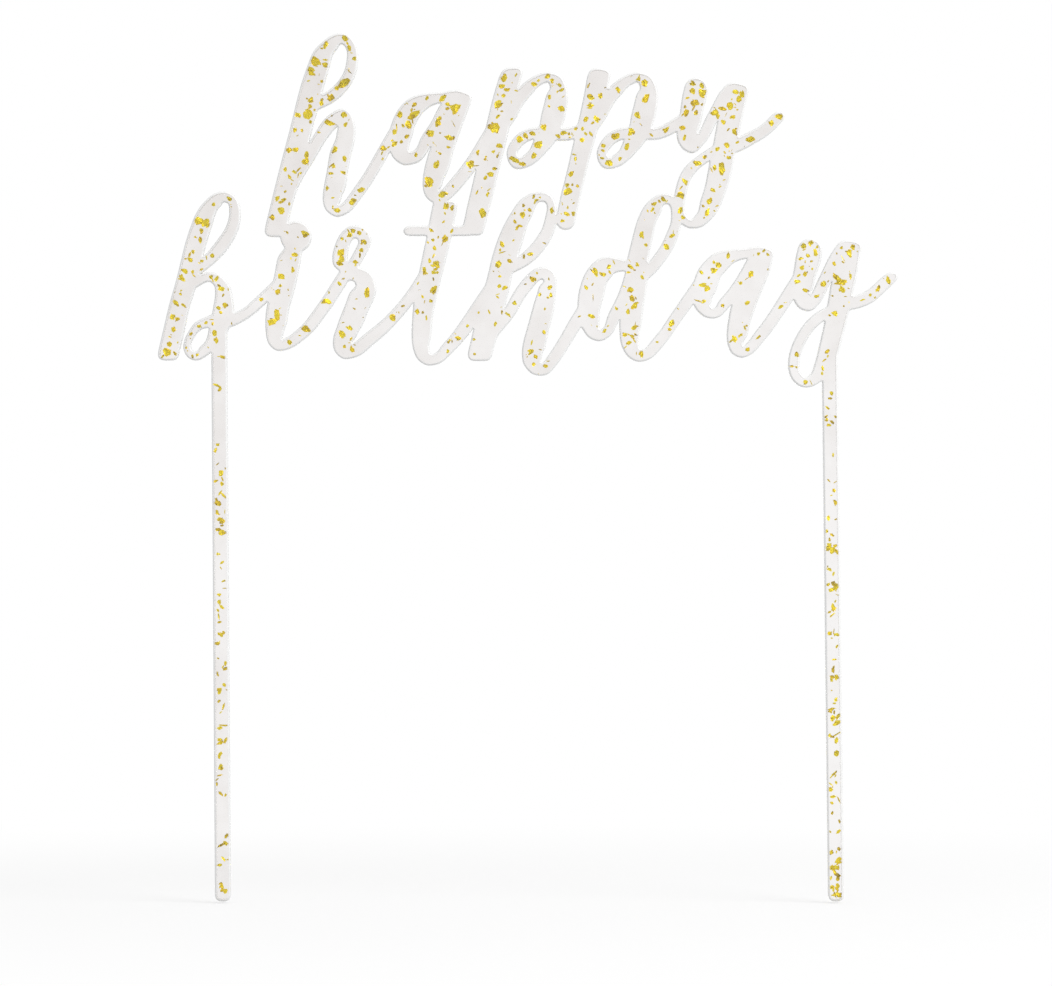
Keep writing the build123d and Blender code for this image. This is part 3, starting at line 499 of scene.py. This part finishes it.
def scrap(centre, depth, arms, rings, tone, chance):
    """Points, faces and tones of a scrap: rings at even shares of its arms, creased, with painted shade in
    the creases and on one side.
    """
    share = np.linspace(0, 1, rings + 1)[1:, None]
    plane = np.append(0, (share * arms).ravel())
    size = np.abs(arms).mean()
    lift, creases = crease_lift(plane / size, chance)
    front = flat_points(plane + centre, np.clip(depth + size * lift, -DEEPEST_FOIL, DEEPEST_FOIL))
    towards_painted_shade = (plane / size * random_headings(1, chance)).real
    # Painted shade and highlight: the tone drops in the valleys of the creases, rises on their ridges, and
    # drops on one side of the scrap
    tones = np.clip(tone + CREASE_PAINTED_SHADE * creases - PAINTED_SIDE_SHADE * np.clip(towards_painted_shade, 0, 1) ** 2, 0, 1)
    return (
        np.concatenate([front, front + np.array([0, FOIL_SKIN, 0])]),
        scrap_faces(len(arms), rings),
        np.tile(tones, 2),
    )


print(f"front skins stay within {DEEPEST_FOIL:.2f} mm of the middle of the sheet")

# %% Fold corners over and break crumbs off
SMALL_RINGS = 1  # rings of faces in a fold or a crumb
FOLD_COUNTS = (1, 1, 2)
FOLD_SIZE = (0.4, 0.75)  # a folded-over corner, in parts of its flake
FOLD_OFFSET = (0.4, 0.85)  # from the flake's middle, in parts of its mean radius
FOLD_DEPTH = (-0.1, 0.1)  # in front of its flake or behind it
FOLD_TONE = (0.35, 1.0)
CRUMB_CORNERS = 5
CRUMB_SPOKES = (0.6, 1.2)  # in parts of the crumb's size
CRUMB_TONE = (0.2, 1.0)
CRUMB_TRIES = 8  # places that are tried for a crumb, until one lies inside the sheet
SLIVER_SHARE = 0.2  # crumbs that are torn off as a thin sliver
SLIVER_STRETCH = (1.7, 2.3)


def folded_corners(centre, depth, arms, chance):
    """One or two smaller scraps of a flake's own shape, over its rim where that is inside the sheet."""
    for _ in range(chance.choice(FOLD_COUNTS)):
        way = np.abs(arms).mean() * chance.uniform(*FOLD_OFFSET)
        place = centre + way * random_headings(1, chance)[0]
        fold = drawn_out(arms * chance.uniform(*FOLD_SIZE), STRETCH, chance)
        fold_depth = depth + chance.uniform(*FOLD_DEPTH)
        torn = kept_inside(place, torn_edge(fold, chance))
        made = scrap(place, fold_depth, torn, SMALL_RINGS, chance.uniform(*FOLD_TONE), chance)
        if depth_inside(np.array([place]))[0] > CLEAR_ROOM:
            yield made


def crumb_arms(size, chance):
    """The corners of a crumb: a ring with random spokes, drawn out twice, and much further for a sliver."""
    ring = np.exp(2j * np.pi * np.arange(CRUMB_CORNERS) / CRUMB_CORNERS)
    arms = drawn_out(size * ring * chance.uniform(*CRUMB_SPOKES, CRUMB_CORNERS), STRETCH, chance)
    return drawn_out(arms, SLIVER_STRETCH if chance.random() < SLIVER_SHARE else STRETCH, chance)


def loose_crumbs(centre, depth, reach, scatter, chance):
    """Crumbs round a flake, each at the first of a few random places that lies inside the sheet."""
    for _ in range(chance.choice(scatter.crumb_counts)):
        ways = reach + chance.uniform(*scatter.crumb_way, CRUMB_TRIES)
        places = centre + ways * random_headings(CRUMB_TRIES, chance)
        size = chance.uniform(*scatter.crumb_size)
        crumb = crumb_arms(size, chance)
        for place in places[depth_inside(places) > size + CLEAR_ROOM][:1]:
            kept = kept_inside(place, crumb)
            yield scrap(place, depth, kept, SMALL_RINGS, chance.uniform(*CRUMB_TONE), chance)


print(f"a flake gets {min(FOLD_COUNTS)} or {max(FOLD_COUNTS)} folded corners")

# %% Fill the sheet with foil
FOIL_SEED = 23
FLAKE_CORNERS = 7  # the most that a packed flake keeps
FLAKE_RINGS = 2  # rings of faces in a flake
BRIGHT_TONE = (0.75, 1.0)
DULL_TONE = (0.4, 0.6)
DULL_SHARE = 0.15  # flakes that lie with their dull side out

# How far foil spreads past its packed plate, and its crumbs: how many, how large and how far they drift
Scatter = namedtuple("Scatter", "spread crumb_counts crumb_size crumb_way")
LETTER_CRUMBS = ((0, 1, 1, 2, 3), (0.12, 0.42), (0.4, 3.5))
STICK_CRUMBS = ((2, 3, 4), (0.2, 0.6), (0.4, 7.0))
SCATTERS = {
    "upper": Scatter(1.14, *LETTER_CRUMBS),
    "lower": Scatter(1.02, *LETTER_CRUMBS),
    "left": Scatter(1.02, *STICK_CRUMBS),
    "right": Scatter(1.02, *STICK_CRUMBS),
}


def flake_scraps(corners, depth, scatter, chance):
    """The scraps of one packed flake: its own plate, crumpled, its folded corners, and crumbs round it."""
    centre = corners.mean()
    around = np.argsort(np.angle(corners - centre))
    kept = np.linspace(0, len(around), min(len(around), FLAKE_CORNERS), endpoint=False).astype(int)
    arms = scatter.spread * drawn_out((corners - centre)[around[kept]], STRETCH, chance)
    tone = chance.uniform(*(DULL_TONE if chance.random() < DULL_SHARE else BRIGHT_TONE))
    torn = kept_inside(centre, torn_edge(arms, chance))
    yield scrap(centre, depth, torn, FLAKE_RINGS, tone, chance)
    yield from folded_corners(centre, depth, arms, chance)
    yield from loose_crumbs(centre, depth, np.abs(arms).mean(), scatter, chance)


def joined(scraps):
    """Many scraps as one mesh: each scrap's corner numbers move up by the number of points before it."""
    starts = np.cumsum([0] + [len(points) for points, _, _ in scraps])
    faces = []
    for (_, groups, _), start in zip(scraps, starts):
        for group in groups:
            faces.extend((group + start).tolist())
    points = np.concatenate([points for points, _, _ in scraps])
    tones = np.concatenate([tones for _, _, tones in scraps])
    return points, faces, tones


def make_foil(node, chance):
    """The foil of one packed group of flakes as a single piece, with a tone for each point, painted shade
    and highlight included.
    """
    scatter = SCATTERS[node.split("_")[0]]
    scraps = [made for flake in packed_flakes(node) for made in flake_scraps(*flake, scatter, chance)]
    points, faces, tones = joined(scraps)
    name = node.replace("_flakes", "_foil")
    piece = new_piece(name, points, faces)
    # The tone attribute holds each scrap's own tone together with the painted shade and highlight of its
    # creases and its darker side
    tone = piece.data.attributes.new("tone", "FLOAT", "POINT")
    tone.data.foreach_set("value", tones.astype(np.float32))
    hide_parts(node)
    print(f"{name}: {len(scraps)} scraps, {len(faces)} faces")
    return piece


chance = np.random.default_rng(FOIL_SEED)
foil = [make_foil(node, chance) for node in flake_nodes]

# %% [markdown]
# ## Finishes
#
# Shader maths reads best as sums. The class below wraps one output socket, and its operators add Math
# nodes, so `1 - mask` is a node like any other. Everything else comes from one method that sets a node up
# and wires it.

# %% A socket that can be calculated with


def fill_ramp(ramp, stops):
    """Sets a colour ramp's stops, given as (place, colour) pairs."""
    while len(ramp.elements) < len(stops):
        ramp.elements.new(1)
    for element, (place, colour) in zip(ramp.elements, stops):
        element.position = place
        element.color = colour


class Value:
    """One output socket of a node tree, with arithmetic that adds Math nodes."""

    def __init__(self, tree, socket=None):
        self.tree = tree
        self.socket = socket

    def node(self, kind, settings=None, output=0, **inputs):
        """Adds a node: its settings first, a ramp's stops among them, then its sockets' values or links.

        A socket is given by its name, with _ for a space, or by _ and its number where a name isn't unique.
        """
        made = self.tree.nodes.new(kind)
        for key, setting in (settings or {}).items():
            if key == "stops":
                fill_ramp(made.color_ramp, setting)
            else:
                setattr(made, key, setting)
        for key, given in inputs.items():
            socket = made.inputs[int(key[1:]) if key[0] == "_" else key.replace("_", " ")]
            if isinstance(given, Value):
                self.tree.links.new(given.socket, socket)
            else:
                socket.default_value = given
        return Value(self.tree, made.outputs[output] if made.outputs else None)

    def math(self, operation, first, second):
        """A Math node on two values."""
        return self.node("ShaderNodeMath", {"operation": operation}, _0=first, _1=second)

    def __add__(self, other):
        return self.math("ADD", self, other)

    def __radd__(self, other):
        return self.math("ADD", other, self)

    def __sub__(self, other):
        return self.math("SUBTRACT", self, other)

    def __rsub__(self, other):
        return self.math("SUBTRACT", other, self)

    def __mul__(self, other):
        return self.math("MULTIPLY", self, other)

    def __rmul__(self, other):
        return self.math("MULTIPLY", other, self)


def blank_finish(name):
    """A material with an empty node tree, and a Value to build in it."""
    material = bpy.data.materials.new(name)
    material.use_nodes = True
    material.node_tree.nodes.clear()
    return material, Value(material.node_tree)


operators = [name.strip("_") for name in vars(Value) if name.endswith(("add__", "sub__", "mul__"))]
print("a Value can be calculated with:", ", ".join(operators))

# %% [markdown]
# ### Clear acrylic
#
# Cast acrylic bends light a little less than glass. Seen straight on it is a pale grey veil over what
# lies behind it, never quite even, because the casting holds faint streaks and a fine mottle. The flat
# faces are polished, and the walls that the laser cut are faintly frosted, so that they take the light
# instead of passing it on. One clear shader would do for a windowpane, but the cut edge needs a white one
# too, mixed in by the frost that each point of the sheet carries.

# %% Tint the casting
ACRYLIC_PALE = (0.925, 0.91, 0.904, 1)
ACRYLIC_DEEP = (0.705, 0.664, 0.638, 1)
TINT_BASE = 0.2
TINT_SLOPE = 1.55  # the casting gets paler by this much per metre to the right and down
UPPER_TINT = 0.1  # and it is this much deeper above the gap between the two words
WORD_GAP = (0.125, 0.15)  # heights between which that sets in
STREAK_SCALE = 70.0
STREAK_GAIN = 0.8
MOTTLE_SCALE = 300.0
MOTTLE_GAIN = 0.6


def casting_tint(paint, place):
    """The veil's colour: paler or deeper by slow streaks, a fine mottle and the place on the sheet."""
    streaks = paint.node("ShaderNodeTexNoise", Vector=place, Scale=STREAK_SCALE, Detail=2.0)
    mottle = paint.node("ShaderNodeTexNoise", Vector=place, Scale=MOTTLE_SCALE, Detail=2.0)
    across = paint.node("ShaderNodeSeparateXYZ", output="X", Vector=place)
    up = paint.node("ShaderNodeSeparateXYZ", output="Z", Vector=place)
    upper = paint.node(
        "ShaderNodeMapRange",
        {"interpolation_type": "SMOOTHSTEP"},
        Value=up,
        From_Min=WORD_GAP[0],
        From_Max=WORD_GAP[1],
    )
    uneven = streaks * STREAK_GAIN + mottle * MOTTLE_GAIN
    paleness = TINT_BASE + uneven + (across - up) * TINT_SLOPE - upper * UPPER_TINT
    stops = [(0.0, ACRYLIC_DEEP), (1.0, ACRYLIC_PALE)]
    return paint.node("ShaderNodeValToRGB", {"stops": stops}, Fac=paleness)


print(f"streaks every {1 / STREAK_SCALE / MM:.0f} mm or so, mottle every {1 / MOTTLE_SCALE / MM:.0f} mm")

# %% Mix the acrylic
ACRYLIC_IOR = 1.49
HAZE_SCALE = 400.0
POLISH = 0.01  # roughness of the flat faces
HAZE = 0.03  # and what a faint haze adds to it
CUT_SCALE = 900.0
CUT_ROUGHNESS = 0.3
CUT_UNEVENNESS = 0.2
FROST_STOPS = [(0.3, (0.92, 0.92, 0.915, 1)), (0.7, (0.97, 0.97, 0.965, 1))]


def polished_face(paint, place):
    """Clear acrylic with the casting's tint."""
    haze = paint.node("ShaderNodeTexNoise", Vector=place, Scale=HAZE_SCALE, Detail=1.0)
    return paint.node(
        "ShaderNodeBsdfPrincipled",
        Base_Color=casting_tint(paint, place),
        Roughness=haze * HAZE + POLISH,
        IOR=ACRYLIC_IOR,
        Transmission_Weight=1.0,
    )


def frosted_cut(paint, place):
    """The white bloom that a laser leaves on its cut."""
    cut_lines = paint.node("ShaderNodeTexNoise", Vector=place, Scale=CUT_SCALE, Detail=2.0)
    return paint.node(
        "ShaderNodeBsdfPrincipled",
        Base_Color=paint.node("ShaderNodeValToRGB", {"stops": FROST_STOPS}, Fac=cut_lines),
        Roughness=cut_lines * CUT_UNEVENNESS + CUT_ROUGHNESS,
        IOR=ACRYLIC_IOR,
    )


def clear_acrylic():
    """Polished cast acrylic that turns frosted where the frost attribute rises."""
    material, paint = blank_finish("clear_acrylic")
    place = paint.node("ShaderNodeTexCoord", output="Object")
    frost = paint.node("ShaderNodeAttribute", {"attribute_name": "frost"}, output="Fac")
    polished = polished_face(paint, place)
    frosted = frosted_cut(paint, place)
    surface = paint.node("ShaderNodeMixShader", _0=frost, _1=polished, _2=frosted)
    paint.node("ShaderNodeOutputMaterial", Surface=surface)
    return material


acrylic_finish = clear_acrylic()
sheet.data.materials.append(acrylic_finish)
print(f"{acrylic_finish.name}: {len(acrylic_finish.node_tree.nodes)} nodes")

# %% [markdown]
# ### Gold foil
#
# The foil is brass leaf: bright yellow where it lies flat and olive brown where it is doubled over. The
# olive brown in its creases and on one side of each scrap is painted shade. One metal colour would look
# like paint at this size, so each point of a flake carries a tone, which the creases raise or lower as
# painted highlight and shade. A ramp turns the tone into a colour, and fine noise breaks it up.

# %% Mix the foil
# The olive brown end of the ramp shows dull and folded flakes, and also the painted shade in creases and on
# one side of each scrap
FOIL_STOPS = [
    (0.0, (0.42, 0.315, 0.05, 1)),
    (0.3, (0.74, 0.545, 0.03, 1)),
    (0.55, (0.95, 0.72, 0.02, 1)),
    (0.8, (0.97, 0.785, 0.03, 1)),
    (1.0, (0.98, 0.825, 0.05, 1)),
]
GRAIN_SCALE = 1200.0
GRAIN_MEAN = 0.5
GRAIN_SHADE = 0.08  # how much the grain changes the tone
LEAF_ROUGHNESS = 0.32
GRAIN_ROUGHNESS = 0.2
WRINKLE_STRENGTH = 0.06
WRINKLE_DEPTH = 0.1 * MM


def gold_foil():
    """Crumpled brass leaf: metal whose colour follows the flake's tone, painted shade and highlight
    included, and a fine noise.
    """
    material, paint = blank_finish("gold_foil")
    place = paint.node("ShaderNodeTexCoord", output="Object")
    tone = paint.node("ShaderNodeAttribute", {"attribute_name": "tone"}, output="Fac")
    grain = paint.node("ShaderNodeTexNoise", Vector=place, Scale=GRAIN_SCALE, Detail=2.0)
    shaded = tone + (grain - GRAIN_MEAN) * GRAIN_SHADE
    wrinkle = paint.node("ShaderNodeBump", Height=grain, Strength=WRINKLE_STRENGTH, Distance=WRINKLE_DEPTH)
    surface = paint.node(
        "ShaderNodeBsdfPrincipled",
        Base_Color=paint.node("ShaderNodeValToRGB", {"stops": FOIL_STOPS}, Fac=shaded),
        Metallic=1.0,
        Roughness=grain * GRAIN_ROUGHNESS + LEAF_ROUGHNESS,
        Normal=wrinkle,
    )
    paint.node("ShaderNodeOutputMaterial", Surface=surface)
    return material


foil_finish = gold_foil()
for piece in foil:
    piece.data.materials.append(foil_finish)
print(f"{foil_finish.name}: {len(foil_finish.node_tree.nodes)} nodes on {len(foil)} pieces")

# %% [markdown]
# ## Floor and light
#
# The photograph is a plain cut-out view, straight on, over white. The floor and the sky are white to the
# camera and to what shines through the sheet, and the light on the object is softer: a dim dome all
# round, and a broad lamp from the upper right, which leaves the left and lower edges of the letters grey.
# A bright white world would be simpler, but it would bleach the edges.

# %% The sky
DOME = 0.71  # strength of the light from all round, where 1 is the white that the camera sees
WHITE = (1, 1, 1, 1)


def seen_directly(paint):
    """1 for rays from the camera, off a mirror or through the clear sheet, and 0 for light that bounces."""
    camera = paint.node("ShaderNodeLightPath", output="Is Camera Ray")
    gloss = paint.node("ShaderNodeLightPath", output="Is Glossy Ray")
    through = paint.node("ShaderNodeLightPath", output="Is Transmission Ray")
    return paint.math("MAXIMUM", paint.math("MAXIMUM", camera, gloss), through)


def make_sky():
    """A white sky to look at, and a dimmer one to be lit by."""
    world = bpy.data.worlds.new("sky")
    world.use_nodes = True
    world.node_tree.nodes.clear()
    paint = Value(world.node_tree)
    strength = DOME + seen_directly(paint) * (1 - DOME)
    light = paint.node("ShaderNodeBackground", Color=WHITE, Strength=strength)
    paint.node("ShaderNodeOutputWorld", Surface=light)
    bpy.context.scene.world = world


make_sky()
print(f"the sky lights the topper at {DOME:.2f} of white")

# %% The floor
FLOOR_REACH = 3.0  # to each side of the topper
FLOOR_GAP = 0.4 * MM  # between the tips of the sticks and the floor
FLOOR_BLEND = (0.08, 0.3)  # distances from the topper's middle between which the floor turns plain white
FLOOR_WHITE = 0.6  # share of plain white in the floor beside the sticks
FLOOR_LIT = (0.6, 0.6, 0.6, 1)  # its colour to light that bounces
FLOOR_SEEN = (0.97, 0.97, 0.97, 1)  # and to the eye


def floor_finish():
    """Matt pale grey near the topper, where its shadow falls, and plain white further off."""
    material, paint = blank_finish("floor")
    place = paint.node("ShaderNodeTexCoord", output="Object")
    distance = paint.node("ShaderNodeVectorMath", {"operation": "LENGTH"}, output="Value", _0=place)
    whiteness = paint.node(
        "ShaderNodeMapRange",
        {"interpolation_type": "SMOOTHSTEP"},
        Value=distance,
        From_Min=FLOOR_BLEND[0],
        From_Max=FLOOR_BLEND[1],
        To_Min=FLOOR_WHITE,
    )
    shown = seen_directly(paint)
    # Sockets 6 and 7 and output 2 are the colours of a Mix node
    shade = paint.node(
        "ShaderNodeMix", {"data_type": "RGBA"}, output=2, _0=shown, _6=FLOOR_LIT, _7=FLOOR_SEEN
    )
    matt = paint.node("ShaderNodeBsdfDiffuse", Color=shade)
    white = paint.node("ShaderNodeEmission", Color=WHITE, Strength=1.0)
    surface = paint.node("ShaderNodeMixShader", _0=whiteness * shown, _1=matt, _2=white)
    paint.node("ShaderNodeOutputMaterial", Surface=surface)
    return material


def make_floor():
    """A wide flat square just under the tips of the sticks."""
    square = np.array([(-1, -1, 0), (1, -1, 0), (1, 1, 0), (-1, 1, 0)])
    corners = FLOOR_REACH * square - np.array([0, 0, FLOOR_GAP])
    mesh = bpy.data.meshes.new("floor")
    mesh.from_pydata(corners.tolist(), [], [(0, 1, 2, 3)])
    mesh.materials.append(floor_finish())
    floor = bpy.data.objects.new("floor", mesh)
    bpy.context.scene.collection.objects.link(floor)
    floor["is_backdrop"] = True


make_floor()
print(f"the floor is {2 * FLOOR_REACH:.0f} m wide")

# %% The lamp
LAMP_WATTS = 6.5
LAMP_SIZE = 0.9
LAMP_PLACE = (0.7, -0.6, 0.75)
LAMP_TARGET = (0, 0, 0.1)


def aimed(thing, place, target):
    """Puts a lamp or camera in place, looking at a target."""
    thing.location = place
    direction = np.array(target) - np.array(place)
    flat = math.hypot(direction[0], direction[1])
    thing.rotation_euler = (math.atan2(flat, -direction[2]), 0, math.atan2(-direction[0], direction[1]))
    bpy.context.scene.collection.objects.link(thing)


def make_lamp():
    """A broad soft disc to the upper right of the reader."""
    light = bpy.data.lights.new("lamp", "AREA")
    light.shape = "DISK"
    light.size = LAMP_SIZE
    light.energy = LAMP_WATTS
    aimed(bpy.data.objects.new("lamp", light), LAMP_PLACE, LAMP_TARGET)


make_lamp()
print(f"the lamp is {math.dist(LAMP_PLACE, LAMP_TARGET):.2f} m away")

# %% [markdown]
# ## Camera
#
# The camera stands straight in front, far enough off that the sheet's walls hardly show. An orthographic
# camera would hide them altogether, but a photograph has some perspective. The photograph's frame is 1052
# by 986 pixels at 5 pixels to the millimetre, and the lens follows from that width.

# %% Point the camera
PHOTO_WIDTH = 1052
PIXELS_PER_MM = 5.0
FRAME_CENTRE = (-0.3 * MM, 81.6 * MM)
CAMERA_DISTANCE = 1.2
SENSOR_WIDTH = 36.0  # in millimetres, as the lens is
VIEW_REACH = 20.0

lens = bpy.data.cameras.new("camera")
lens.sensor_width = SENSOR_WIDTH
lens.lens = SENSOR_WIDTH * CAMERA_DISTANCE / (PHOTO_WIDTH / PIXELS_PER_MM * MM)
lens.clip_end = VIEW_REACH
camera = bpy.data.objects.new("camera", lens)
aimed(camera, (FRAME_CENTRE[0], -CAMERA_DISTANCE, FRAME_CENTRE[1]), (FRAME_CENTRE[0], 0, FRAME_CENTRE[1]))
bpy.context.scene.camera = camera
bpy.context.scene.view_settings.view_transform = "Standard"
print(f"the lens is {lens.lens:.0f} mm long")

# %% [markdown] ## Sizes  The dressed topper has to keep to the packed size.

# %% Measure the dressed topper
for name, (low, high) in {"packed": cad_box, "dressed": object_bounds()}.items():
    print(f"{name}: {((np.array(high) - np.array(low)) / MM).round(2)} mm")

# %% Gather the sizes of both boxes
boxes = {"cad": cad_box, "visual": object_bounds()}
{name: [list(corner) for corner in box] for name, box in boxes.items()}
